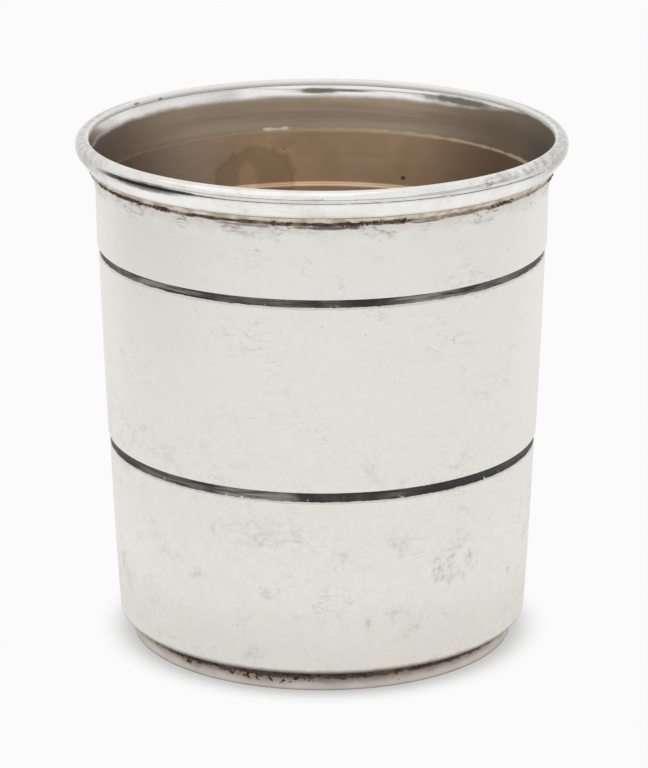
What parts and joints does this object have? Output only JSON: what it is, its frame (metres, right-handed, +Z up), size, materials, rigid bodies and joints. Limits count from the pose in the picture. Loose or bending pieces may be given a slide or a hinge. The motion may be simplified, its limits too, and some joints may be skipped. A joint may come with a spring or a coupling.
{
  "type": "julep cup",
  "caption": "Small tapered silver beaker with a heavy rounded rim moulding, two rolled bands round the wall and a low foot ring set back under the turned-in lower edge.",
  "frame": {"origin": "centre of the cup on the plane that its foot ring stands on", "axes": "+Z up along the axis of the cup, towards the mouth; -Y faces the viewer of the picture, +X is to the right"},
  "size_m": [0.079, 0.079, 0.0836],
  "materials": {
    "wall_silver": "satin, old silver with fine scratches, light tarnish and dark bands",
    "inside_silver": "satin, brown tarnish",
    "foot_silver": "satin, pinkish tan tarnish, dark towards the joint",
    "rim_silver": "polished by handling, with nicks and fine scratches",
    "solder": "dull tan solder with dark dirt"
  },
  "bodies": {
    "root": {"cup_wall": "wall_silver", "floor_disc": "inside_silver", "foot_ring": "foot_silver", "rim_moulding": "rim_silver", "rim_solder": "solder", "foot_solder": "solder", "floor_solder": "solder"}
  },
  "joints": []
}
